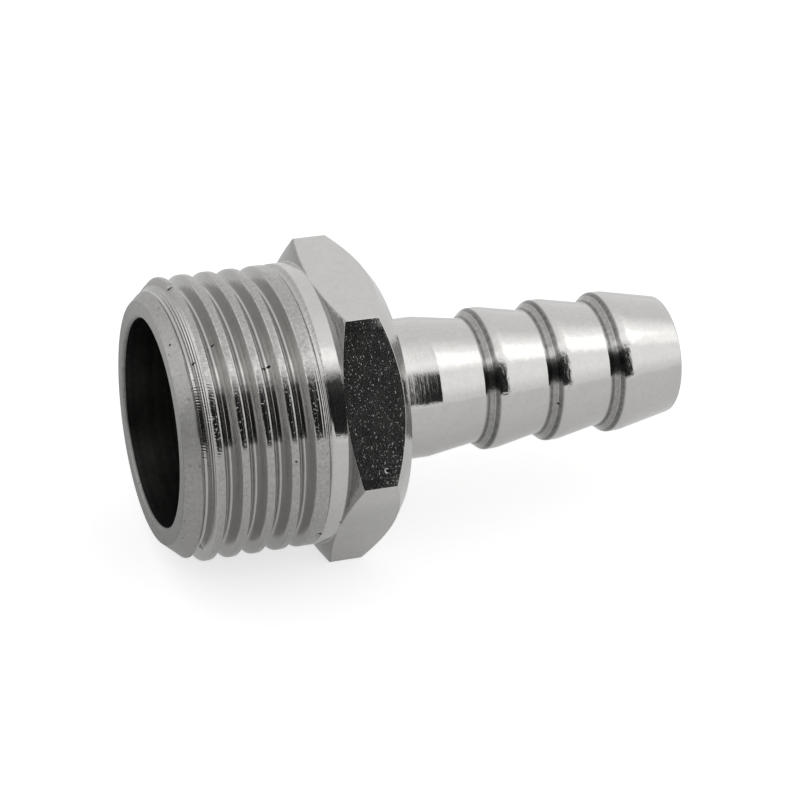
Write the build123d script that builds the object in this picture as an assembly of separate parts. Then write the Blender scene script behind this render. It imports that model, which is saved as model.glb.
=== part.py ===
from build123d import *
from math import cos, pi, radians, sin, tan
import os

# Hose tail, turned in one piece from hexagonal bar: a parallel pipe thread with
# a bored mouth, a spanner hexagon, and a stem with barbs for a 10 mm hose.
# The axis is +X. The origin is the centre of the mouth's sealing face, and the
# tail lies on one flat of its hexagon, with the opposite flat facing +Z.

# Parallel pipe thread, 1/2 inch: 14 turns to the inch, right hand, its groove a sharp V
THREAD_DIAMETER = 20.955
THREAD_PITCH = 25.4 / 14
THREAD_DEPTH = 1.28
FLANK_ANGLE = 55
# Where the first full groove crosses the +Y side, and how the last one ends
FIRST_GROOVE = 2.4
RUNOUT_TURNS = 1.0

# Mouth: a bore, a flat sealing face and a lead chamfer on the thread
MOUTH_BORE = 15.4
MOUTH_BORE_DEPTH = 12.5
MOUTH_BEVEL = 0.2
MOUTH_FACE_DIAMETER = 17.9
LEAD_CHAMFER_LENGTH = 1.75
THREADED_END_LENGTH = 11.65
PLAIN_SHOULDER = 1.0

# Spanner hexagon, its corners bevelled on both sides
ACROSS_FLATS = 21.0
HEXAGON_LENGTH = 5.25
FRONT_BEVEL_ANGLE = 23
REAR_BEVEL_ANGLE = 37
REAR_FACE_DIAMETER = 18.8

# Stem between the hexagon and the first barb
STEM_DIAMETER = 10.6
STEM_PLAIN_LENGTH = 3.9
STEM_TAPER_LENGTH = 3.7

# Barbs: each has a steep back towards the hexagon and a long taper to the tip
BARB_COUNT = 3
BARB_PITCH = 5.05
BARB_CREST_DIAMETER = 10.8
BARB_ROOT_DIAMETER = 9.45
BARB_BACK_LENGTH = 0.85
TIP_DIAMETER = 9.0
TIP_LENGTH = 5.15

# Waterway through the stem, drilled from the mouth
STEM_BORE = 7.0
DRILL_POINT_ANGLE = 118

# How far what is cut away stands clear of the metal, and the steps in each groove length
CUT_CLEARANCE = 0.2
GROOVE_STEPS = 16

THREAD_RADIUS = THREAD_DIAMETER / 2
THREAD_ROOT_RADIUS = THREAD_RADIUS - THREAD_DEPTH
FLANK_SLOPE = tan(radians(FLANK_ANGLE / 2))
FIRST_TURN = -1 - FIRST_GROOVE / THREAD_PITCH
HEXAGON_FRONT = THREADED_END_LENGTH
LAST_TURN = (HEXAGON_FRONT - PLAIN_SHOULDER - FIRST_GROOVE) / THREAD_PITCH
HEXAGON_REAR = HEXAGON_FRONT + HEXAGON_LENGTH
HEXAGON_CORNER_RADIUS = ACROSS_FLATS / 2 / cos(radians(30))
FIRST_BARB = HEXAGON_REAR + STEM_PLAIN_LENGTH + STEM_TAPER_LENGTH
LAST_CREST = FIRST_BARB + (BARB_COUNT - 1) * BARB_PITCH + BARB_BACK_LENGTH
TAIL_END = LAST_CREST + TIP_LENGTH
DRILL_CONE_LENGTH = (MOUTH_BORE - STEM_BORE) / 2 / tan(radians(DRILL_POINT_ANGLE / 2))


def turned(*corners):
    """Solid turned about X from its half section, given as corners of (x, radius)."""
    outline = Polyline(*[(x, 0, radius) for x, radius in corners], close=True)
    return revolve(make_face(outline), Axis.X)


def threaded_end():
    """Blank of the threaded end, with its lead chamfer, up to the hexagon."""
    return turned(
        (0, 0),
        (0, MOUTH_FACE_DIAMETER / 2),
        (LEAD_CHAMFER_LENGTH, THREAD_RADIUS),
        (HEXAGON_FRONT, THREAD_RADIUS),
        (HEXAGON_FRONT, 0),
    )


def hexagon():
    """Hexagon whose two ends are bevelled by turning."""
    outer = HEXAGON_CORNER_RADIUS + CUT_CLEARANCE
    front_rise = (outer - THREAD_RADIUS) * tan(radians(FRONT_BEVEL_ANGLE))
    rear_fall = (outer - REAR_FACE_DIAMETER / 2) * tan(radians(REAR_BEVEL_ANGLE))
    bevels = turned(
        (HEXAGON_FRONT, 0),
        (HEXAGON_FRONT, THREAD_RADIUS),
        (HEXAGON_FRONT + front_rise, outer),
        (HEXAGON_REAR - rear_fall, outer),
        (HEXAGON_REAR, REAR_FACE_DIAMETER / 2),
        (HEXAGON_REAR, 0),
    )
    section = RegularPolygon(ACROSS_FLATS / 2, 6, major_radius=False)
    return bevels & extrude(Plane.YZ.offset(HEXAGON_FRONT) * section, HEXAGON_LENGTH)


def barb_corners():
    """Corners of the barbs: the foot of each steep back, then its crest."""
    corners = []
    for number in range(BARB_COUNT):
        foot = FIRST_BARB + number * BARB_PITCH
        corners.append((foot, BARB_ROOT_DIAMETER / 2))
        corners.append((foot + BARB_BACK_LENGTH, BARB_CREST_DIAMETER / 2))
    return corners


def stem():
    """Stem with its barbs, from the hexagon's rear face to the tip."""
    return turned(
        (HEXAGON_REAR, 0),
        (HEXAGON_REAR, STEM_DIAMETER / 2),
        (HEXAGON_REAR + STEM_PLAIN_LENGTH, STEM_DIAMETER / 2),
        *barb_corners(),
        (TAIL_END, TIP_DIAMETER / 2),
        (TAIL_END, 0),
    )


def waterway():
    """Bore of the mouth, its drill cone and the drilled hole through the stem."""
    cone_end = MOUTH_BORE_DEPTH + DRILL_CONE_LENGTH
    return turned(
        (-CUT_CLEARANCE, 0),
        (-CUT_CLEARANCE, MOUTH_BORE / 2 + MOUTH_BEVEL + CUT_CLEARANCE),
        (MOUTH_BEVEL, MOUTH_BORE / 2),
        (MOUTH_BORE_DEPTH, MOUTH_BORE / 2),
        (cone_end, STEM_BORE / 2),
        (TAIL_END + CUT_CLEARANCE, STEM_BORE / 2),
        (TAIL_END + CUT_CLEARANCE, 0),
    )


def groove_point(turn, side):
    """Point on an edge of the thread groove, after so many turns from the +Y side.

    side is 0 at the root of the V, and -1 or 1 on the mouth's or the tip's side of its
    open top, a little outside the crests. The last turn rises out of the metal.
    """
    height = THREAD_DEPTH + CUT_CLEARANCE
    fade = max(0, 1 - (LAST_TURN - turn) / RUNOUT_TURNS)
    radius = THREAD_ROOT_RADIUS + height * (abs(side) + fade**2)
    angle = 2 * pi * turn
    x = FIRST_GROOVE + THREAD_PITCH * turn + side * height * FLANK_SLOPE
    return (x, radius * cos(angle), radius * sin(angle))


def groove_length(start, end):
    """What is cut away between two turns, as a solid with three ruled sides."""
    turns = [start + (end - start) * step / GROOVE_STEPS for step in range(GROOVE_STEPS + 1)]
    edges = [Edge.make_spline([groove_point(turn, side) for turn in turns]) for side in (0, 1, -1)]
    sides = [
        Face.make_surface_from_curves(edge, following)
        for edge, following in zip(edges, edges[1:] + edges[:1])
    ]
    ends = [Face(Wire.make_polygon([edge @ place for edge in edges])) for place in (0, 1)]
    return Solid(Shell(sides + ends))


def thread_groove():
    """The right-hand groove, in lengths of about half a turn that meet end to end."""
    count = round((LAST_TURN - FIRST_TURN) * 2)
    length = (LAST_TURN - FIRST_TURN) / count
    starts = [FIRST_TURN + length * number for number in range(count)]
    return [groove_length(start, start + length) for start in starts]


tail = threaded_end() + hexagon() + stem()
tail = tail - thread_groove()
tail = tail - waterway()
tail = tail.solid()
tail.label = "hose_tail"

os.makedirs("parts", exist_ok=True)
export_step(tail, "parts/hose_tail.step")
print("length", TAIL_END, "volume", tail.volume, "valid", tail.is_valid)
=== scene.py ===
# %% [markdown]
# A hose tail in nickel-plated brass. One end has a pipe thread round an open mouth,
# the middle is a spanner hexagon, and the other end has three barbs that hold a hose.
# The imported model is loaded first, as a fixed frame in metres, and its box is kept.

# %% Load the frame
import bmesh
import bpy
from math import cos, pi, radians, sin, tan
from mathutils import Matrix, Vector


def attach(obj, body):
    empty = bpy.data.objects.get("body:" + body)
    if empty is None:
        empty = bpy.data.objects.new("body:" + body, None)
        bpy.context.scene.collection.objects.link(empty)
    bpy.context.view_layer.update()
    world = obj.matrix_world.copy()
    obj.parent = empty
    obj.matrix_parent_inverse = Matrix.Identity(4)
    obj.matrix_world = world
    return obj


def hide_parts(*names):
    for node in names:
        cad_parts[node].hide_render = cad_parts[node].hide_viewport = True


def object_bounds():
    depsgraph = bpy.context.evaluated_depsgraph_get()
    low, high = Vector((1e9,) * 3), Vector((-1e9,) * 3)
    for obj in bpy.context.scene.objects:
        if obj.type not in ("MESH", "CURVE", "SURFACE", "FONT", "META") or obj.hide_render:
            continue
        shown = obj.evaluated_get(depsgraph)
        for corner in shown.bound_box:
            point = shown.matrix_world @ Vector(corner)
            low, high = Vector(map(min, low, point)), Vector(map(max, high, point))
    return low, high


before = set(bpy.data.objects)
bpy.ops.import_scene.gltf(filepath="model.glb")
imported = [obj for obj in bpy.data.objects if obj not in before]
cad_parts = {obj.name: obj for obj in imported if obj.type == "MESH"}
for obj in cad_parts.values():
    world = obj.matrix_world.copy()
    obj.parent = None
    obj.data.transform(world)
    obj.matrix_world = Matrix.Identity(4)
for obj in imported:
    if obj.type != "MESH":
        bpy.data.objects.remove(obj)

cad_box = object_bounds()
MM = 0.001


def box_in_mm(box, digits=2):
    """The two corners of a box in millimetres, rounded for printing."""
    return [[round(v / MM, digits) for v in corner] for corner in box]


print("nodes", sorted(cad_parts), "box in mm", box_in_mm(cad_box))

# %% [markdown]
# The photograph was taken with a long lens, a little from the left and from above,
# and the camera was tipped slightly. A long lens keeps the mouth nearly as large as
# the hexagon behind it. The camera is placed by what it aims at, how far away it
# stands, and three angles, because these can be changed one at a time.

# %% Camera
AIM = Vector((19.125, -0.776, -0.456)) * MM
DISTANCE = 200.434 * MM
LOOKS_DOWN = 32.558
LOOKS_RIGHT = 22.299
ROLL = 4.552
FIELD_OF_VIEW = 16.984
NEAR_LIMIT, FAR_LIMIT = 0.01, 10

camera = bpy.data.objects.new("camera", bpy.data.cameras.new("camera"))
bpy.context.scene.collection.objects.link(camera)
turn = (
    Matrix.Rotation(radians(-LOOKS_RIGHT), 4, "Z")
    @ Matrix.Rotation(radians(90 - LOOKS_DOWN), 4, "X")
    @ Matrix.Rotation(radians(ROLL), 4, "Z")
)
backwards = turn.to_3x3() @ Vector((0, 0, 1))
camera.matrix_world = Matrix.Translation(AIM + backwards * DISTANCE) @ turn
camera.data.angle = radians(FIELD_OF_VIEW)
camera.data.clip_start = NEAR_LIMIT
camera.data.clip_end = FAR_LIMIT
bpy.context.scene.camera = camera
print("camera at", [round(v / MM, 1) for v in camera.matrix_world.translation], "mm")

# %% [markdown]
# The tail is a shape with a rule: a half section turned about the axis, a hexagon
# with bevelled corners, and a thread that climbs as it turns. So Geometry Nodes make
# it, and each size is an input that can be changed afterwards. Node trees are made of
# many small sums. This small class lets a sum be written as plain arithmetic, and
# adds the Math nodes for it.

# %% Sums as nodes
class Wire:
    """An output socket of a node. Arithmetic with it adds Math nodes to its tree."""

    def __init__(self, socket):
        self.socket = socket

    def __add__(self, other):
        return calc("ADD", self, other)

    def __sub__(self, other):
        return calc("SUBTRACT", self, other)

    def __rsub__(self, other):
        return calc("SUBTRACT", other, self)

    def __mul__(self, other):
        return calc("MULTIPLY", self, other)

    def __truediv__(self, other):
        return calc("DIVIDE", self, other)

    def __abs__(self):
        return calc("ABSOLUTE", self)

    __radd__ = __add__
    __rmul__ = __mul__


def fill(tree, socket, value):
    """Link a Wire to an input socket, or set the socket to a plain value."""
    if isinstance(value, Wire):
        tree.links.new(value.socket, socket)
    else:
        socket.default_value = value


def add_node(tree, kind, inputs=None, **settings):
    """Add a node, set its properties, and fill the inputs that are named or numbered."""
    node = tree.nodes.new(kind)
    for name, value in settings.items():
        setattr(node, name, value)
    for key, value in (inputs or {}).items():
        fill(tree, node.inputs[key], value)
    return node


def calc(operation, *values):
    """A Math node on these values, at least one of which is a Wire."""
    tree = next(value.socket.id_data for value in values if isinstance(value, Wire))
    node = add_node(tree, "ShaderNodeMath", dict(enumerate(values)), operation=operation)
    return Wire(node.outputs[0])


print("helpers for node trees: Wire, fill, add_node, calc")

# %% [markdown]
# Two more helpers make soft steps out of a value. They are used wherever something
# fades in or out, in the thread's run-out as well as in the material and the light.

# %% Soft steps
def ramp(value, zero_at, full_at):
    """Smooth step from 0 at zero_at to 1 at full_at, which may be the lower of the two."""
    ends = {"Value": value, "From Min": zero_at, "From Max": full_at}
    tree = value.socket.id_data
    step = add_node(tree, "ShaderNodeMapRange", ends, interpolation_type="SMOOTHSTEP")
    return Wire(step.outputs[0])


def band(value, low, high, soft):
    """1 between low and high, falling smoothly to 0 over soft on each side."""
    return ramp(value, low - soft, low + soft) * (1 - ramp(value, high - soft, high + soft))


print("helpers for soft steps: ramp, band")

# %% [markdown]
# These are real sizes, in millimetres and degrees: a 1/2 inch pipe thread with 14
# turns to the inch, the lead chamfer on it, and a hexagon 21 mm across its flats,
# bevelled on both sides. The first full groove crosses the +Y side at FIRST_GROOVE.

# %% Sizes of the thread and the hexagon
INCH = 25.4
TURNS_PER_INCH = 14
PITCH = INCH / TURNS_PER_INCH
THREAD_RADIUS = 20.955 / 2
THREAD_DEPTH = 1.0
FLANK_ANGLE = 55
FIRST_GROOVE = 2.4
SHOULDER_START = 10.6
MOUTH_FACE_RADIUS = 8.95
CHAMFER_LENGTH = 1.75
CHAMFER_SLOPE = (THREAD_RADIUS - MOUTH_FACE_RADIUS) / CHAMFER_LENGTH
THREAD_START = 0.1
HALF_ACROSS_FLATS = 21.0 / 2
EDGE_ROUNDING = 0.12
FRONT_BEVEL = 23
REAR_BEVEL = 37
HEXAGON_FRONT = 11.65
HEXAGON_REAR = 16.9
shoulder_turns = (SHOULDER_START - FIRST_GROOVE) / PITCH
print(round(shoulder_turns, 2), "turns from the first full groove to the shoulder")

# %% [markdown]
# The tree gets a named input for each size that its rules use, with lengths in metres.
# Where the run-out starts, where it is shallow and where the groove ends are counted in
# turns from the first full groove. Corner pull says how closely the columns of faces
# gather at the hexagon's edges.

# %% Tree with its sizes
sizes = {
    "Thread radius": THREAD_RADIUS * MM,
    "Pitch": PITCH * MM,
    "Thread depth": THREAD_DEPTH * MM,
    "Root flat": 0.24 * MM,
    "Flank slope": tan(radians(FLANK_ANGLE / 2)),
    "Thread rounding": 0.3 * MM,
    "Chamfer edge": 0.08 * MM,
    "First groove": FIRST_GROOVE * MM,
    "Run-out start": 3.4,
    "Run-out shallow": 4.15,
    "Groove end": 4.6,
    "Thread start": THREAD_START * MM,
    "Mouth face radius": MOUTH_FACE_RADIUS * MM,
    "Chamfer slope": CHAMFER_SLOPE,
    "Hexagon front": HEXAGON_FRONT * MM,
    "Half across flats": HALF_ACROSS_FLATS * MM,
    "Hexagon edge radius": EDGE_ROUNDING * MM,
    "Corner pull": 0.92,
}
counts = {"Columns": 300, "Rows per turn": 30, "Rounding steps": 5}

tree = bpy.data.node_groups.new("hose_tail_tree", "GeometryNodeTree")
for direction in ("INPUT", "OUTPUT"):
    tree.interface.new_socket("Geometry", in_out=direction, socket_type="NodeSocketGeometry")
for name in sizes:
    tree.interface.new_socket(name, in_out="INPUT", socket_type="NodeSocketFloat")
for name in counts:
    tree.interface.new_socket(name, in_out="INPUT", socket_type="NodeSocketInt")
entry = tree.nodes.new("NodeGroupInput")
size = {name: Wire(entry.outputs[name]) for name in [*sizes, *counts]}
print(len(size), "named inputs")

# %% [markdown]
# Both skins of the tail, the turned one and the threaded one, start as a flat grid.
# Its rows will follow the section, and its columns go once round the axis. A point's
# row and column come from its index, because a grid is numbered column by column
# within each row. The angle is measured from +Y towards +Z.

# %% Rows, columns and angles
SIDES = 6


def skin_grid(rows):
    """A grid with that many rows of points, and each point's row and turn round the axis."""
    around = size["Columns"] + 1
    grid = add_node(tree, "GeometryNodeMeshGrid", {"Vertices X": rows, "Vertices Y": around})
    index = Wire(add_node(tree, "GeometryNodeInputIndex").outputs[0])
    row = calc("FLOOR", (index + 0.5) / around)
    column = index - row * around
    return Wire(grid.outputs["Mesh"]), row, column / size["Columns"]


def pulled_angle(turn_share, pull):
    """The angle of a column, drawn towards the hexagon's edges by pull."""
    even = turn_share * (2 * pi)
    return even - calc("SINE", even * SIDES) * pull / SIDES


def placed(grid, x, radius, angle):
    """The grid with each point moved to its place along and round the axis."""
    place = {"X": x, "Y": calc("COSINE", angle) * radius, "Z": calc("SINE", angle) * radius}
    joined_place = Wire(add_node(tree, "ShaderNodeCombineXYZ", place).outputs[0])
    moved = add_node(tree, "GeometryNodeSetPosition", {"Geometry": grid, "Position": joined_place})
    return Wire(moved.outputs[0])


print("a skin has", counts["Columns"], "columns")

# %% [markdown]
# A hexagon's skin is nearest to the axis at the middle of each flat and farthest at
# its edges. The rule gives the distance for any angle: the flat's distance over the
# cosine from its middle, and close to an edge a small arc, because a real edge is
# never perfectly sharp and the thin bright line on it comes from that arc.

# %% Hexagon's distance from the axis
def angle_from_edge(angle):
    """The angle to the nearest of the hexagon's six edges."""
    sixths = angle * (3 / pi)
    return abs(sixths - calc("ROUND", sixths)) * (pi / 3)


def hexagon_radius(angle):
    """Distance from the axis to the hexagon's skin at an angle, its six edges rounded."""
    from_edge = angle_from_edge(angle)
    rounding = size["Hexagon edge radius"]
    flat = size["Half across flats"]
    arc_centre = (flat - rounding) / cos(pi / 6)
    sideways = calc("SINE", from_edge) * arc_centre
    reach = calc("SQRT", calc("MAXIMUM", rounding * rounding - sideways * sideways, 0))
    on_arc = calc("COSINE", from_edge) * arc_centre + reach
    on_flat = flat / calc("COSINE", pi / 6 - from_edge)
    arc_ends = pi / 6 - calc("ARCTANGENT", (flat - rounding) / flat * tan(pi / 6))
    use_arc = calc("LESS_THAN", from_edge, arc_ends)
    return on_flat + (on_arc - on_flat) * use_arc


sharp_corners = HALF_ACROSS_FLATS * 2 / cos(pi / 6)
print("corner to corner", round(sharp_corners, 2), "mm before the edges are rounded")

# %% [markdown]
# The rest of the tail is turned: a stem, three barbs, and a bore that is wide at the
# mouth and narrow through the stem. CREST_CIRCLE is the circle that the hexagon's
# rounded edges reach. A bevel's rise is how far it goes along the axis on the way there.

# %% Sizes of the stem, the barbs and the bores
STEM_RADIUS = 5.3
STEM_PLAIN_LENGTH = 3.9
BARB_COUNT = 3
BARB_CREST = 5.4
BARB_ROOT = 4.725
FIRST_BARB = 24.5
BARB_PITCH = 5.05
BARB_BACK = 0.85
BARB_LAND = 0.8
TIP_X = 40.6
TIP_RADIUS = 4.5
STEM_BORE = 3.5
STEM_BORE_BEVEL = 0.3
MOUTH_BORE = 7.7
MOUTH_BEVEL = 0.2
MOUTH_BORE_DEPTH = 12.5
DRILL_POINT_ANGLE = 118
DRILL_CONE = (MOUTH_BORE - STEM_BORE) / tan(radians(DRILL_POINT_ANGLE / 2))
REAR_FACE_RADIUS = 9.4
CREST_CIRCLE = (HALF_ACROSS_FLATS - EDGE_ROUNDING) / cos(pi / 6) + EDGE_ROUNDING
FRONT_RISE = (CREST_CIRCLE - THREAD_RADIUS) * tan(radians(FRONT_BEVEL))
REAR_RISE = (CREST_CIRCLE - REAR_FACE_RADIUS) * tan(radians(REAR_BEVEL))
print("the drill cone is", round(DRILL_CONE, 2), "mm long")

# %% [markdown]
# The section is drawn once, as a chain of corners: over the hexagon, down its rear
# face, along the stem and its three barbs, round the tip, back through the bore and
# out over the mouth's face. Each barb has a steep back towards the hexagon, which
# bites the hose, a short land, and a long taper that lets the hose slide on. A land
# runs into its taper in a wide rounding, so the gleam on it has no hard edge.

# %% Section corners
BEVEL_ROUNDING = 0.1
REAR_RIM_ROUNDING = 0.6
STEM_FOOT_ROUNDING = 0.3
STEM_END_ROUNDING = 0.8
BARB_ROUNDING = 0.25
LAND_ROUNDING = 3.0
TIP_ROUNDING = 0.2
MOUTH_ROUNDING = 0.05

PLAIN, FRONT, REAR = 0, 1, 2
corners = [
    # x, radius, rounding, part of the hexagon, pull towards its edges
    (HEXAGON_FRONT, THREAD_RADIUS, 0, PLAIN, 1),
    (HEXAGON_FRONT + FRONT_RISE, CREST_CIRCLE, BEVEL_ROUNDING, FRONT, 1),
    (HEXAGON_REAR - REAR_RISE, CREST_CIRCLE, BEVEL_ROUNDING, REAR, 1),
    (HEXAGON_REAR, REAR_FACE_RADIUS, REAR_RIM_ROUNDING, PLAIN, 1),
    (HEXAGON_REAR, STEM_RADIUS, STEM_FOOT_ROUNDING, PLAIN, 0),
    (HEXAGON_REAR + STEM_PLAIN_LENGTH, STEM_RADIUS, STEM_END_ROUNDING, PLAIN, 0),
]
for number in range(BARB_COUNT):
    foot = FIRST_BARB + number * BARB_PITCH
    corners += [
        (foot, BARB_ROOT, BARB_ROUNDING, PLAIN, 0),
        (foot + BARB_BACK, BARB_CREST, BARB_ROUNDING, PLAIN, 0),
        (foot + BARB_BACK + BARB_LAND, BARB_CREST, LAND_ROUNDING, PLAIN, 0),
    ]
corners += [
    (TIP_X, TIP_RADIUS, TIP_ROUNDING, PLAIN, 0),
    (TIP_X, STEM_BORE + STEM_BORE_BEVEL, 0, PLAIN, 0),
    (TIP_X - STEM_BORE_BEVEL, STEM_BORE, 0, PLAIN, 0),
    (MOUTH_BORE_DEPTH + DRILL_CONE, STEM_BORE, 0, PLAIN, 0),
    (MOUTH_BORE_DEPTH, MOUTH_BORE, 0, PLAIN, 0),
    (MOUTH_BEVEL, MOUTH_BORE, MOUTH_ROUNDING, PLAIN, 0),
    (0, MOUTH_BORE + MOUTH_BEVEL, MOUTH_ROUNDING, PLAIN, 0),
    (0, MOUTH_FACE_RADIUS, MOUTH_ROUNDING, PLAIN, 0),
    (THREAD_START, MOUTH_FACE_RADIUS + THREAD_START * CHAMFER_SLOPE, 0, PLAIN, 0),
]
print(len(corners), "corners in the section")

# %% [markdown]
# The corners become a small mesh of points and edges, which the tree can read. Each
# point carries its own rounding, its part in the hexagon and its pull as attributes.

# %% Section as a mesh
section = bpy.data.meshes.new("section")
section.from_pydata(
    [(x * MM, 0, radius * MM) for x, radius, *rest in corners],
    [(number, number + 1) for number in range(len(corners) - 1)],
    [],
)
for place, name in enumerate(("rounding", "part", "pull"), start=2):
    scale = MM if name == "rounding" else 1
    values = section.attributes.new(name, "FLOAT", "POINT")
    values.data.foreach_set("value", [corner[place] * scale for corner in corners])
    print("attribute", name, "set on", len(values.data), "points")

# %% [markdown]
# The tree turns the section into the first skin. Fillet Curve rounds the corners, and
# each point that it leaves becomes one row of the grid. Sample Index reads the place
# and the attributes of that point for the whole row.

# %% Turned skin
def section_value(curve, kind, field, row):
    """A value of the rounded section at one of its points."""
    sample = add_node(tree, "GeometryNodeSampleIndex", data_type=kind)
    for key, value in (("Geometry", curve), ("Value", field), ("Index", row)):
        tree.links.new(value.socket, sample.inputs[key])
    return Wire(sample.outputs[0])


def named(name):
    """A named attribute of the geometry."""
    return Wire(add_node(tree, "GeometryNodeInputNamedAttribute", {"Name": name}).outputs[0])


as_curve = add_node(tree, "GeometryNodeMeshToCurve", {"Mesh": Wire(entry.outputs["Geometry"])})
fillet = {
    "Curve": Wire(as_curve.outputs[0]),
    "Count": size["Rounding steps"],
    "Radius": named("rounding"),
}
curve = Wire(add_node(tree, "GeometryNodeFilletCurve", fillet, mode="POLY").outputs[0])
points = add_node(tree, "GeometryNodeAttributeDomainSize", {"Geometry": curve}, component="CURVE")
grid, row, turn_share = skin_grid(Wire(points.outputs["Point Count"]))

position = Wire(add_node(tree, "GeometryNodeInputPosition").outputs[0])
place = section_value(curve, "FLOAT_VECTOR", position, row)
split = add_node(tree, "ShaderNodeSeparateXYZ", {0: place})
along, out = Wire(split.outputs["X"]), Wire(split.outputs["Z"])
part = section_value(curve, "FLOAT", named("part"), row)
pull = section_value(curve, "FLOAT", named("pull"), row) * size["Corner pull"]
angle = pulled_angle(turn_share, pull)
print("rows in the turned skin: one for each point of the rounded section")

# %% [markdown]
# In the hexagon a row is moved along its bevel cone until it meets the flat at that
# angle, so the curved lines where the bevels cut the flats come out as they do on a
# lathe. The rear cone ends where the rounding of the rear rim begins.

# %% Bevels cut back to the flats
PART_TOLERANCE = 0.1

skin_radius = hexagon_radius(angle)
rim_length = REAR_RIM_ROUNDING * tan(radians(REAR_BEVEL / 2))
front_base = (HEXAGON_FRONT * MM, THREAD_RADIUS * MM)
rear_base = (
    (HEXAGON_REAR - rim_length * sin(radians(REAR_BEVEL))) * MM,
    (REAR_FACE_RADIUS + rim_length * cos(radians(REAR_BEVEL))) * MM,
)
for bevel, (base_x, base_radius) in ((FRONT, front_base), (REAR, rear_base)):
    share = (skin_radius - base_radius) / (CREST_CIRCLE * MM - base_radius)
    factor = calc("COMPARE", part, bevel, PART_TOLERANCE) * (share - 1) + 1
    along = (along - base_x) * factor + base_x
    out = (out - base_radius) * factor + base_radius
print("the rear cone ends", round(rim_length, 2), "mm short of the rear face's rim")

# %% [markdown]
# The thread is a groove that climbs one pitch in each turn. The second skin's rows
# climb with it, so every row stays at the same place in the groove all the way round
# and its crests come out clean. The rows start some turns before the first full
# groove, and those that would stand past either end of the skin are held at it.

# %% Rows that climb with the thread
TURNS_BEFORE = 3

pitch = size["Pitch"]
first_row_x = size["First groove"] - pitch * TURNS_BEFORE
turns_in_skin = (size["Hexagon front"] - first_row_x) / pitch
thread_rows = calc("CEIL", turns_in_skin * size["Rows per turn"]) + 1

thread_grid, thread_row, thread_share = skin_grid(thread_rows)
climb = thread_row / size["Rows per turn"] + thread_share
x = calc("MAXIMUM", first_row_x + pitch * climb, size["Thread start"])
x = calc("MINIMUM", x, size["Hexagon front"])
in_groove = (x - size["First groove"]) / pitch - thread_share
off_centre = in_groove - calc("ROUND", in_groove)
turn_number = (x - size["First groove"]) / pitch - off_centre
print(counts["Rows per turn"], "rows in each turn of the thread")

# %% [markdown]
# The groove's section is a flat root and two flanks, cut off at the crest. A pipe
# thread has rounded crests and roots: Smooth Maximum gives the roots and Smooth Minimum
# the crests. They matter for the looks too, because they mirror what is in front of
# them. The groove gets shallow over its run-out and stops before the plain shoulder,
# as the cutter did. It is lifted clear of the crest there by more than the rounding,
# so that the shoulder comes out truly round and the two skins meet without a gap. The
# lead chamfer cuts the first turns down. Close to the hexagon the columns are drawn
# towards its edges, as those of the other skin are.

# %% Threaded skin
RUNOUT_LIFT = 0.84
END_LENGTH = 0.05
CLEAR_OF_CREST = 0.31
PULL_START = 10.9

crest = size["Thread radius"]
soft = size["Thread rounding"]
rising = ramp(turn_number, size["Run-out start"], size["Run-out shallow"])
stopping = ramp(turn_number, size["Groove end"] - END_LENGTH, size["Groove end"])
lift = (rising * RUNOUT_LIFT + stopping * (THREAD_DEPTH - RUNOUT_LIFT + CLEAR_OF_CREST)) * MM
flank = (abs(off_centre) * pitch - size["Root flat"] / 2) / size["Flank slope"]
groove = crest - size["Thread depth"] + calc("SMOOTH_MAX", flank, 0, soft) + lift
chamfer = size["Mouth face radius"] + x * size["Chamfer slope"]
thread_radius = calc("SMOOTH_MIN", groove, crest, soft)
thread_radius = calc("SMOOTH_MIN", thread_radius, chamfer, size["Chamfer edge"])
near_hexagon = ramp(x, PULL_START * MM, size["Hexagon front"])
thread_angle = pulled_angle(thread_share, near_hexagon * size["Corner pull"])
runout_depth = THREAD_DEPTH - RUNOUT_LIFT
print("groove depth", THREAD_DEPTH, "mm, in the run-out", round(runout_depth, 2), "mm")

# %% [markdown]
# The real tail has been knocked about a little. There are two nicks where the thread
# starts, one high and one low, and a torn spot where the cutter left it. Each is a
# shallow bowl pushed in towards the axis. Then both skins get their places.

# %% Nicks, and the two skins in place
nicks = [
    # x, angle from +Y towards +Z, half width along x, half length round, depth
    (1.78, 79.5, 0.3, 0.42, 0.32),
    (1.84, 220.0, 0.3, 0.5, 0.16),
    (10.33, 213.3, 0.22, 0.42, 0.34),
]


def nicked(x, radius, angle):
    """The radius with each nick pushed in."""
    for nick_x, nick_angle, width, length, nick_depth in nicks:
        across = (x - nick_x * MM) / (width * MM)
        round_it = (angle - radians(nick_angle)) * crest / (length * MM)
        bowl = calc("MAXIMUM", 1 - across * across - round_it * round_it, 0)
        radius = radius - bowl * bowl * (nick_depth * MM)
    return radius


turned_skin = placed(grid, along, out, angle)
threaded_skin = placed(thread_grid, x, nicked(x, thread_radius, thread_angle), thread_angle)
print(len(nicks), "nicks")

# %% [markdown]
# The two skins share their columns, so where they meet their points coincide. Merge
# by Distance closes them into one watertight piece. Edges that turn by more than 35
# degrees stay sharp, and all the rest is shaded smooth. The grids come out facing
# inwards, so their faces are flipped.

# %% Join the skins
SHARP_FROM = 35
MERGE_DISTANCE = 0.0002 * MM
material = bpy.data.materials.new("nickel_plate")


def then(geometry, kind, inputs=None, **settings):
    """The geometry passed through one more node."""
    node = add_node(tree, kind, inputs, **settings)
    tree.links.new(geometry.socket, node.inputs[0])
    return Wire(node.outputs[0])


bend = Wire(add_node(tree, "GeometryNodeInputMeshEdgeAngle").outputs["Unsigned Angle"])
is_sharp = calc("GREATER_THAN", bend, radians(SHARP_FROM))
keep_sharp = {"Selection": is_sharp, "Shade Smooth": False}

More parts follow.
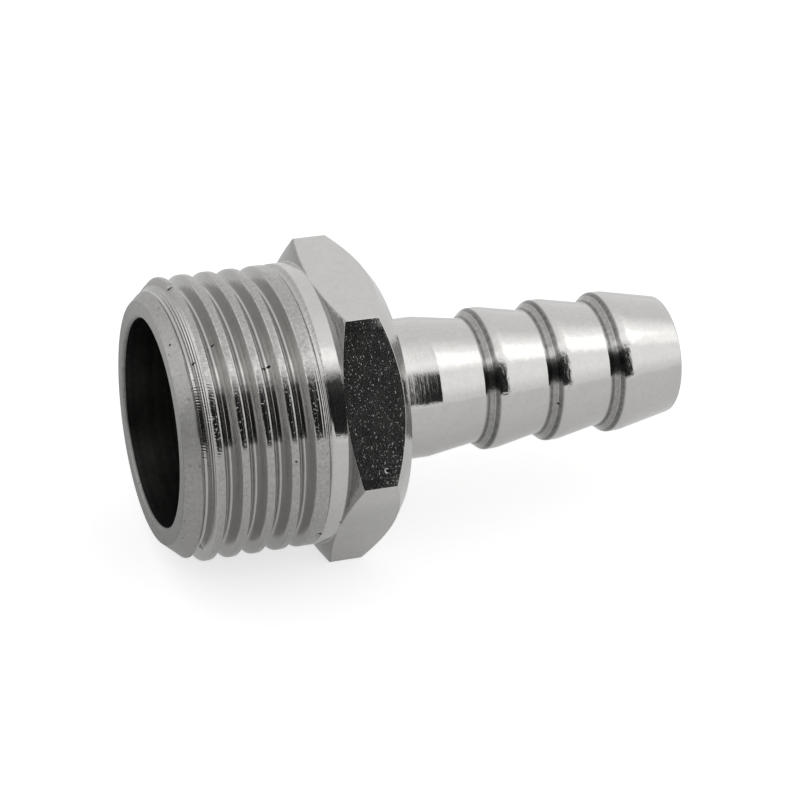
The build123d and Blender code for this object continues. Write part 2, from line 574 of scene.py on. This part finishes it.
joined = add_node(tree, "GeometryNodeJoinGeometry")
for skin in (threaded_skin, turned_skin):
    tree.links.new(skin.socket, joined.inputs[0])
whole = Wire(joined.outputs[0])
whole = then(whole, "GeometryNodeMergeByDistance", {"Distance": MERGE_DISTANCE})
whole = then(whole, "GeometryNodeSetShadeSmooth", {"Shade Smooth": True}, domain="FACE")
whole = then(whole, "GeometryNodeSetShadeSmooth", keep_sharp, domain="EDGE")
whole = then(whole, "GeometryNodeFlipFaces")
whole = then(whole, "GeometryNodeRealizeInstances")
whole = then(whole, "GeometryNodeSetMaterial", {"Material": material})
leave = tree.nodes.new("NodeGroupOutput")
tree.links.new(whole.socket, leave.inputs[0])
print("the tree has", len(tree.nodes), "nodes")

# %% [markdown]
# The modifier gets its sizes by the identifiers of its sockets, because two sockets
# may share a name. A Weighted Normal modifier follows it. It lets the large faces
# decide the shading, so the long tapers keep an even shine beside their roundings.
# Then the evaluated object is turned into a plain mesh.

# %% Plain mesh of the tail
blank = bpy.data.objects.new("hose_tail_blank", section)
bpy.context.scene.collection.objects.link(blank)
modifier = blank.modifiers.new("hose_tail", "NODES")
modifier.node_group = tree
settings = sizes | counts
for item in tree.interface.items_tree:
    if item.in_out == "INPUT" and item.name in settings:
        modifier[item.identifier] = settings[item.name]
shading = blank.modifiers.new("shading", "WEIGHTED_NORMAL")
shading.keep_sharp = True
evaluated = bpy.context.evaluated_depsgraph_get()
mesh = bpy.data.meshes.new_from_object(blank.evaluated_get(evaluated), depsgraph=evaluated)
bpy.data.objects.remove(blank)
tail = bpy.data.objects.new("hose_tail_dressed", mesh)
bpy.context.scene.collection.objects.link(tail)
print("points", len(mesh.vertices), "faces", len(mesh.polygons))

# %% [markdown]
# A turned solid is closed: each of its edges has exactly two faces. If the faces point
# outwards, the signed volume is positive, and it should be close to the volume of the
# real metal, about 4000 cubic millimetres.

# %% Check that the skin is closed and faces outwards
check = bmesh.new()
check.from_mesh(mesh)
open_edges = sum(len(edge.link_faces) != 2 for edge in check.edges)
volume = check.calc_volume(signed=True) / MM**3
check.free()
mesh.calc_loop_triangles()
print("open edges", open_edges, "volume", round(volume, 1), "mm3")
print("triangles", len(mesh.loop_triangles))

# %% [markdown]
# Nickel over brass is a neutral grey metal with a trace of warmth. The surfaces differ
# by how they were cut, and some also by shade painted into their colour. The turned
# ones carry fine rings, the flats of the drawn bar are grainy, the mouth's face and
# chamfer are dull, and the bore is dark.
# All of it is worked out from a point's own place: how far along the axis, how far
# from it, and at which angle. Sizes in the material are in millimetres.

# %% Where a point is on the tail
material.use_nodes = True
nickel = material.node_tree
shader = nickel.nodes["Principled BSDF"]
coordinates = add_node(nickel, "ShaderNodeTexCoord")
to_mm = {0: Wire(coordinates.outputs["Object"]), "Scale": 1 / MM}
place_mm = Wire(add_node(nickel, "ShaderNodeVectorMath", to_mm, operation="SCALE").outputs[0])
split = add_node(nickel, "ShaderNodeSeparateXYZ", {0: place_mm})
x_mm, y_mm, z_mm = (Wire(split.outputs[axis]) for axis in "XYZ")
from_axis = calc("SQRT", y_mm * y_mm + z_mm * z_mm)
around_axis = calc("ARCTAN2", z_mm, y_mm)
side_angle = calc("ARCTAN2", z_mm, y_mm * -1) * (180 / pi)


def noise(place, scale, detail=2.0, kind="3D"):
    """Noise about 0, from about -0.5 to 0.5, with features 1 / scale millimetres apart."""
    key = "W" if kind == "1D" else "Vector"
    inputs = {key: place, "Scale": scale, "Detail": detail}
    texture = add_node(nickel, "ShaderNodeTexNoise", inputs, noise_dimensions=kind)
    return Wire(texture.outputs[0]) - 0.5


print("side angle is 0 where the tail faces -Y, and 90 on top")

# %% [markdown]
# Masks say how much a point belongs to each kind of surface. In each ramp the two
# numbers are where the mask is 0 and where it is 1, so their difference is how soft
# its edge is. A flat is where the distance to the middle of the hexagon's side is half
# the spanner size. The mouth is its face, its small bevel and the lead chamfer. The
# bore's mask also takes in the drill cone, which ends before BORE_MASK_END.

# %% Masks of the hexagon and the mouth
BORE_MASK_END = 15.5

flat_distance = from_axis * calc("COSINE", pi / 6 - angle_from_edge(around_axis))
on_flat = ramp(flat_distance, HALF_ACROSS_FLATS - 0.015, HALF_ACROSS_FLATS - 0.003)
# The lower flats get faint swirls in the relief and painted shade in the colour.
on_lower_flat = on_flat * ramp(z_mm, -1, -4)
on_hexagon = ramp(from_axis, THREAD_RADIUS + 0.02, THREAD_RADIUS + 0.08)
bevel_rise = (from_axis - THREAD_RADIUS) * tan(radians(FRONT_BEVEL))
past_bevel = x_mm - HEXAGON_FRONT - bevel_rise
# Painted shade goes on the front bevel and on a thin line along its edge.
on_front_bevel = on_hexagon * ramp(past_bevel, 0.04, 0.01)
bevel_edge_shade = on_hexagon * band(past_bevel, 0.03, 0.1, 0.03)

in_mouth_bore = ramp(from_axis, MOUTH_BORE + 0.12, MOUTH_BORE + 0.04)
in_mouth_bore = in_mouth_bore * ramp(x_mm, BORE_MASK_END + 0.1, BORE_MASK_END - 0.1)
in_stem_bore = ramp(from_axis, STEM_BORE + 0.25, STEM_BORE + 0.15)
in_bore = calc("MAXIMUM", in_mouth_bore, in_stem_bore)

bevel_rim = MOUTH_BORE + MOUTH_BEVEL
on_mouth_bevel = ramp(x_mm, MOUTH_BEVEL + 0.08, MOUTH_BEVEL + 0.02)
on_mouth_bevel = on_mouth_bevel * ramp(from_axis, bevel_rim + 0.08, bevel_rim + 0.02)
on_face = calc("MAXIMUM", ramp(x_mm, 0.06, 0.02), on_mouth_bevel)
below_cone = x_mm * CHAMFER_SLOPE + MOUTH_FACE_RADIUS - from_axis
on_chamfer = ramp(below_cone, 0.16, 0.06) * ramp(x_mm, CHAMFER_LENGTH + 0.1, CHAMFER_LENGTH - 0.15)
on_mouth = calc("MAXIMUM", on_face, on_chamfer) * (1 - in_bore)
print("masks: flat, lower flat, front bevel, bore, mouth")

# %% [markdown]
# The groove's own place is the same sum as in the thread's skin, so its flanks can be
# told from its crests all the way round. The barbs repeat, so one sum finds all three
# backs, with a middle band and a fine line on each, where a painted highlight goes.

# %% Masks of the thread and the barbs
helix = (x_mm - FIRST_GROOVE) / PITCH - around_axis / (2 * pi)
groove_place = (helix - calc("ROUND", helix)) * PITCH
below_crest = THREAD_RADIUS - from_axis
on_thread = band(x_mm, 0.7, SHOULDER_START - 0.05, 0.06) * ramp(from_axis, 8.9, 9.1)
on_thread = on_thread * (1 - on_mouth)
on_crest = on_thread * ramp(below_crest, 0.14, 0.06)
# The mouth-facing flank, which gets a little painted shade.
on_front_flank = on_thread * ramp(groove_place, 0.12, 0.2) * ramp(below_crest, 0.1, 0.2)

barb_turns = (x_mm - FIRST_BARB) / BARB_PITCH
barb_place = (barb_turns - calc("FLOOR", barb_turns + 0.1)) * BARB_PITCH
barbs_end = FIRST_BARB + (BARB_COUNT - 0.5) * BARB_PITCH
on_barbs = band(x_mm, FIRST_BARB - 0.3, barbs_end, 0.05) * ramp(from_axis, 4.0, 4.2)
on_back = on_barbs * band(barb_place, 0.0, 0.86, 0.13)
# A fine line and a middle band on each back, where painted highlights go.
back_highlight_line = on_barbs * band(barb_place, 0.48, 0.56, 0.04)
back_middle_sheen = on_barbs * band(barb_place, 0.2, 0.46, 0.05)
on_land = on_barbs * band(barb_place, 0.95, 1.6, 0.15)
print("masks: thread, crest, front flank, barb backs and lands")

# %% [markdown]
# The relief is what makes polished metal look real, because every small tilt moves
# its reflection. Turned surfaces get rings, and streaks drawn out along the cut. The
# flats get the grain of drawn bar, with a few proud grains that catch the light, and
# the lower ones the faint swirls of a rub. The names in capitals are heights.

# %% Relief of the turned parts and the flats
FINE_RING, BROAD_RING = 0.003, 0.004
STREAK, STEM_STREAK = 0.0018, 0.002
SWELL, RIPPLE = 0.02, 0.009
FINE_GRAIN, PROUD_GRAIN = 0.004, 0.0042
SWIRL, SWIRL_CENTRE = 0.004, (10.5, -13.0, 6.0)

along_profile = x_mm + from_axis * 1.31
rings = noise(along_profile, 5.0, 3.0, "1D") * FINE_RING
rings = rings + noise(along_profile, 1.3, 1.0, "1D") * BROAD_RING
drawn_out = {0: x_mm * 7, 1: y_mm * 0.8, 2: z_mm * 0.8}
streak_place = Wire(add_node(nickel, "ShaderNodeCombineXYZ", drawn_out).outputs[0])
on_stem = band(x_mm, HEXAGON_REAR, HEXAGON_REAR + STEM_PLAIN_LENGTH, 0.05)
streaks = noise(streak_place, 1.0, 3.0) * (STREAK + on_stem * STEM_STREAK)
waves = noise(place_mm, 0.45, 1.0) * SWELL + noise(place_mm, 2.2, 3.0) * RIPPLE
grain = noise(place_mm, 5.5, 3.0) * FINE_GRAIN
grain = grain + ramp(noise(place_mm, 6.0, 2.0), 0.11, 0.24) * PROUD_GRAIN
ends = {0: place_mm, 1: SWIRL_CENTRE}
from_centre = add_node(nickel, "ShaderNodeVectorMath", ends, operation="DISTANCE")
swirls = noise(Wire(from_centre.outputs["Value"]), 4.5, 2.0, "1D") * SWIRL
height = waves + (rings + streaks) * (1 - on_flat) * (1 - on_mouth)
height = height + grain * on_flat + swirls * on_lower_flat
print("relief: rings, streaks, waves, grain, swirls")

# %% [markdown]
# The mouth is grainy with a few pits. The thread shows lines of the tool, and its
# crests are torn. The first crest is beaded on the front side, because the cutter
# chattered there, and the ridges that its steps leave show at both ends of the thread.
# The run-out is rough on top, and so is the land of each barb.

# %% Relief of the mouth, the thread and the barbs
DULL_GRAIN, PIT = 0.014, 0.02
TOOL_LINE, TOOL_RIDGE, RIDGE_SPACING = 0.01, 0.008, 0.19
TORN_GRAIN, TORN_LUMP = 0.005, 0.014
BEAD, BEADS_ROUND, BEAD_SLANT = 0.03, 290, 9
RUNOUT_LUMP, LAND_LUMP = 0.05, 0.012

dull_grain = noise(place_mm, 6.0, 4.0) * DULL_GRAIN
pits = ramp(noise(place_mm, 2.6, 2.0), 0.17, 0.23)
height = height + (dull_grain - pits * PIT) * on_mouth

tool_lines = noise(groove_place + from_axis * 0.9, 7.0, 3.0, "1D") * TOOL_LINE
torn = noise(place_mm, 4.0, 2.0) * TORN_GRAIN
torn = torn + ramp(noise(place_mm, 5.5, 2.0), 0.13, 0.22) * TORN_LUMP
bead_waves = calc("SINE", side_angle * (pi / 180 * BEADS_ROUND) + x_mm * BEAD_SLANT)
beads = bead_waves * noise(place_mm, 1.2, 1.0) * BEAD
first_crest = on_thread * band(x_mm, 1.2, 2.3, 0.15) * band(side_angle, 8, 62, 6)
height = height + tool_lines * on_thread + torn * on_crest + beads * first_crest

on_ends = on_thread * (1 - band(x_mm, 1.9, 9.75, 0.12))
ridge_waves = calc("SINE", (groove_place + from_axis * 0.3) * (2 * pi / RIDGE_SPACING))
on_run_out = band(x_mm, 9.9, 10.62, 0.06) * band(side_angle, 55, 108, 12)
height = height + ridge_waves * on_ends * TOOL_RIDGE
height = height + noise(place_mm, 4.0, 3.0) * on_run_out * RUNOUT_LUMP
height = height + noise(place_mm, 3.5, 2.0) * on_land * LAND_LUMP
print("relief: pits, tool lines, torn crests, beads, ridges, run-out, lands")

# %% [markdown]
# Small marks are placed one by one, each with its place along the axis, its side
# angle, its size and its depth. They are too fine for the mesh, so they belong to the
# relief, and each is a little darker, because plating is thin at the bottom of a mark.
# Noise added to the distance makes their outlines ragged.

# %% Small marks
RAGGEDNESS = 0.25
MARK_FLOOR = 0.3

marks = [
    # x, side angle, size, depth
    (7.76, 11.6, 0.11, 0.04),
    (3.19, 64.0, 0.1, 0.03),
    (6.84, 51.2, 0.11, 0.04),
    (1.47, 56.5, 0.11, 0.04),
    (30.08, 3.2, 0.1, 0.03),
    (11.59, -24.0, 0.1, 0.04),
    (0.38, 68.8, 0.1, 0.03),
    (14.19, 5.3, 0.2, 0.03),
    (10.33, -33.0, 0.28, 0.12),
    (1.69, 98.0, 0.26, 0.08),
]
ragged = noise(place_mm, 3.5, 2.0) * RAGGEDNESS
marked_share = 0
for mark_x, mark_angle, mark_size, mark_depth in marks:
    away_x = x_mm - mark_x + ragged
    away_round = (side_angle - mark_angle) * (pi / 180) * from_axis
    away = calc("SQRT", away_x * away_x + away_round * away_round)
    mark = ramp(away, mark_size, mark_size * MARK_FLOOR)
    height = height - mark * mark_depth
    marked_share = marked_share + mark
bump = add_node(nickel, "ShaderNodeBump", {"Height": height, "Distance": MM, "Strength": 1.0})
nickel.links.new(bump.outputs[0], shader.inputs["Normal"])
print(len(marks), "small marks")

# %% [markdown]
# Where the cutter tore the metal or the plating bath hardly reached, the nickel is
# thinner and duller: in the thread, on the barbs' backs and on the mouth. Shade is also
# painted into the colour: on the mouth, whose face is painted lighter towards its top,
# on the barbs' backs, the mouth-facing flanks, the front bevel, a line along that
# bevel's edge and the lower flats. Each barb's back also gets a painted highlight, a
# lighter middle and a bright line. So each surface loses a share of the clean nickel's
# brightness, with some noise in it, and a faint mottle lies over the whole tail.

# %% Colour
CLEAN_NICKEL = (0.54, 0.533, 0.52)
DARKEST = 0.02
# Some shares are painted shade: the front flank, mouth face, front bevel, bevel line and lower flat,
# and part of the mouth and barb back.
loss = {
    "thread": 0.2,
    "front flank": 0.06,
    "crest": 0.1,
    "barb back": 0.7,
    "mouth": 0.38,
    "mouth face": 0.18,
    "front bevel": 0.48,
    "bevel line": 0.3,
    "lower flat": 0.15,
    "bore": 0.72,
    "pit": 0.2,
    "mark": 0.85,
}

crest_loss = loss["crest"] + noise(place_mm, 4.5, 3.0) * 0.45
# The thread is duller, and its mouth-facing flanks get a little painted shade too.
thread_dulling_and_shade = on_thread * loss["thread"] + on_front_flank * loss["front flank"] + on_crest * crest_loss
# The barbs' backs are partly duller and partly painted shade, with a painted highlight on their middle
# and line.
barb_dulling_and_shade = loss["barb back"] - back_middle_sheen * 0.3 - back_highlight_line * 0.4 + noise(place_mm, 3.0, 3.0) * 0.6
# Painted shade on the mouth's face, painted lighter towards its top.
face_shade_lit_at_top = on_face * (loss["mouth face"] - ramp(z_mm, 2, 8) * 0.14)
# The mouth is partly duller and partly painted shade.
mouth_dulling_and_shade = loss["mouth"] + face_shade_lit_at_top + pits * loss["pit"] - noise(place_mm, 4.0, 3.0) * 0.3
# Painted shade on the front bevel, along its edge and on the lower flats.
hexagon_shade = on_front_bevel * loss["front bevel"] + bevel_edge_shade * loss["bevel line"]
hexagon_shade = hexagon_shade + on_lower_flat * loss["lower flat"]
bore_loss = in_bore * (loss["bore"] + noise(x_mm, 2.2, 3.0, "1D") * 0.3)
total_dulling_and_shade = thread_dulling_and_shade + on_back * barb_dulling_and_shade + on_mouth * mouth_dulling_and_shade + hexagon_shade + bore_loss
total_dulling_and_shade = total_dulling_and_shade + marked_share * loss["mark"]

cloud = noise(place_mm, 0.8, 3.0)
mottle = cloud * 0.08 + noise(place_mm, 3.0, 3.0) * 0.16
clean = calc("MAXIMUM", 1 - total_dulling_and_shade + mottle, DARKEST)
channels = {place: clean * value for place, value in enumerate(CLEAN_NICKEL)}
shade = add_node(nickel, "ShaderNodeCombineColor", channels)
nickel.links.new(shade.outputs[0], shader.inputs["Base Color"])
print(len(loss), "kinds of surface lose brightness")

# %% [markdown]
# The gloss follows the same masks. Clean nickel is nearly a mirror, the mouth is the
# roughest part, and the same cloud that mottles the colour varies the gloss a little.

# %% Gloss
CLEAN_ROUGHNESS = 0.11
CLOUD_ROUGHNESS = 0.05

roughness = CLEAN_ROUGHNESS + cloud * CLOUD_ROUGHNESS
rougher = ((on_mouth, 0.32), (in_bore, 0.2), (on_flat, 0.04), (on_thread, 0.03), (on_back, 0.06))
for mask, added in rougher:
    roughness = roughness + mask * added
fill(nickel, shader.inputs["Roughness"], roughness)
shader.inputs["Metallic"].default_value = 1
print("nickel has", len(nickel.nodes), "nodes")

# %% [markdown]
# The dressed tail stands for the whole CAD solid, which stays in the physics model.
# Nothing moves on a hose tail, so it rides on the root body.

# %% Place the tail in the frame
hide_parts("hose_tail")
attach(tail, "root")
print("the dressed tail replaces the node hose_tail")

# %% [markdown]
# The tail lies on plain white paper, with one flat of its hexagon down. In the
# photograph the paper is burnt out to pure white. So the paper glows towards the
# camera, and keeps the tail's soft shadow. It glows less in the metal's reflections,
# because paper beside an object is always in some of its shade.

# %% Floor
FLOOR_REACH = 0.6
PAPER_GREY = 0.6
PAPER_ROUGHNESS = 0.9
GLOW_SEEN = 0.66
GLOW_REFLECTED = 0.34

level = cad_box[0].z
floor_mesh = bpy.data.meshes.new("floor")
signs = ((-1, -1), (1, -1), (1, 1), (-1, 1))
floor_corners = [(x * FLOOR_REACH, y * FLOOR_REACH, level) for x, y in signs]
floor_mesh.from_pydata(floor_corners, [], [(0, 1, 2, 3)])
floor = bpy.data.objects.new("floor", floor_mesh)
bpy.context.scene.collection.objects.link(floor)


def ray_kinds(tree):
    """Whether a ray comes straight from the camera or through glass, and if it is a reflection."""
    path = add_node(tree, "ShaderNodeLightPath")
    straight = [Wire(path.outputs[name]) for name in ("Is Camera Ray", "Is Transmission Ray")]
    return calc("MAXIMUM", *straight), Wire(path.outputs["Is Glossy Ray"])


paper = bpy.data.materials.new("paper")
paper.use_nodes = True
paper_shader = paper.node_tree.nodes["Principled BSDF"]
paper_shader.inputs["Base Color"].default_value = (PAPER_GREY, PAPER_GREY, PAPER_GREY, 1)
paper_shader.inputs["Roughness"].default_value = PAPER_ROUGHNESS
paper_shader.inputs["Emission Color"].default_value = (1, 1, 1, 1)
seen_straight, reflected = ray_kinds(paper.node_tree)
glow_of_paper = seen_straight * GLOW_SEEN + reflected * GLOW_REFLECTED
fill(paper.node_tree, paper_shader.inputs["Emission Strength"], glow_of_paper)
floor_mesh.materials.append(paper)
print("floor at", round(level / MM, 2), "mm")

# %% [markdown]
# Polished metal shows the room round it, so the room is lit as a studio is: white all
# round, with one dark curtain low in front, where the photographer stands. That
# curtain is the black band along the thread, the stem and the middle flat. It ends
# before the right side, so the tapers of the barbs stay bright. A direction is told
# by dx, from -1 on the left to 1 on the right, and by its climb angle, which goes from
# 0 level in front over 90 straight above to 180 level behind.

# %% Curtain
CURTAIN_FOOT, CURTAIN_TOP = (2, 5), (47, 60)
CURTAIN_LEFT, CURTAIN_RIGHT = (-0.985, -0.94), (0.42, 0.56)
CURTAIN_LEAN = 0.0012

world = bpy.data.worlds.new("studio")
bpy.context.scene.world = world
world.use_nodes = True
sky = world.node_tree
sky.nodes.clear()
coordinates = add_node(sky, "ShaderNodeTexCoord")
direction = add_node(sky, "ShaderNodeSeparateXYZ", {0: Wire(coordinates.outputs["Generated"])})
dx, dy, dz = (Wire(direction.outputs[axis]) for axis in "XYZ")
climb_angle = calc("ARCTAN2", dz, dy * -1) * (180 / pi)

foot = ramp(climb_angle, *CURTAIN_FOOT)
top = 1 - ramp(climb_angle, *CURTAIN_TOP)
left_side = ramp(dx, *CURTAIN_LEFT)
right_side = 1 - ramp(dx + climb_angle * CURTAIN_LEAN, *CURTAIN_RIGHT)
curtain = foot * top * right_side * left_side
print("the curtain stands from", CURTAIN_FOOT[0], "to", CURTAIN_TOP[1], "degrees up")

# %% [markdown]
# Above the curtain hangs a narrow window, and a wide glow fills the upper front, most
# of it on the right. On the far left is a glow of its own, which the lead chamfer and
# the barbs' backs mirror. Only reflections see all this: diffuse rays get one plain
# level, and the camera and glass see pure white.

# %% Room
PLAIN_LEVEL = 0.75
WALL_LEVEL = 0.98
CURTAIN_DARKNESS = 0.985
CURTAIN_SHEEN = 0.06

front_glow = ramp(climb_angle, 0, 30) * 0.45 + ramp(climb_angle, 52, 66) * 0.55
more_on_right = ramp(dx, 0.25, 0.55) * 0.55 + 0.12
overhead = front_glow * (1 - ramp(climb_angle, 80, 122)) * more_on_right
left_levels = band(climb_angle, 62, 74, 7) * 0.35 + ramp(climb_angle, 80, 130) * 0.8
left_glow = ramp(dx, -0.6, -0.88) * left_levels
window = band(climb_angle, 62, 74, 6) * (1 - ramp(dx, 0.2, 0.45)) * 0.7
room = (WALL_LEVEL + overhead + left_glow + window) * (1 - curtain * CURTAIN_DARKNESS)
room = room + curtain * ramp(climb_angle, 30, 60) * CURTAIN_SHEEN

seen_straight, reflected = ray_kinds(sky)
behind_metal = reflected * room + (1 - reflected) * PLAIN_LEVEL
strength = seen_straight + (1 - seen_straight) * behind_metal
background = add_node(sky, "ShaderNodeBackground", {"Color": (1, 1, 1, 1), "Strength": strength})
world_output = add_node(sky, "ShaderNodeOutputWorld")
sky.links.new(background.outputs[0], world_output.inputs["Surface"])
print("room has", len(sky.nodes), "nodes")

# %% [markdown]
# One square softbox stands high to the right. It gives the tapers their brightest
# streak and the paper a direction of light. Its power is written as a brightness, so
# that the streak comes out the same if the lamp is made larger.

# %% Softbox
def softbox(name, azimuth, height_angle, distance, width, brightness):
    """A square lamp aimed at the tail. Azimuth is from -Y towards +X, in degrees."""
    data = bpy.data.lights.new(name, "AREA")
    data.size = width
    data.energy = brightness * pi * width**2
    lamp = bpy.data.objects.new(name, data)
    a, e = radians(azimuth), radians(height_angle)
    towards = Vector((sin(a) * cos(e), -cos(a) * cos(e), sin(e)))
    lamp.location = AIM + towards * distance
    lamp.rotation_mode = "QUATERNION"
    lamp.rotation_quaternion = towards.to_track_quat("Z", "Y")
    bpy.context.scene.collection.objects.link(lamp)
    print("softbox", name, "with", round(data.energy, 4), "W")


softbox("key", azimuth=72, height_angle=49, distance=0.4, width=0.14, brightness=0.27)

# %% [markdown]
# The colours are shown as they are written, with the Standard view transform.

# %% Finish
bpy.context.scene.view_settings.view_transform = "Standard"
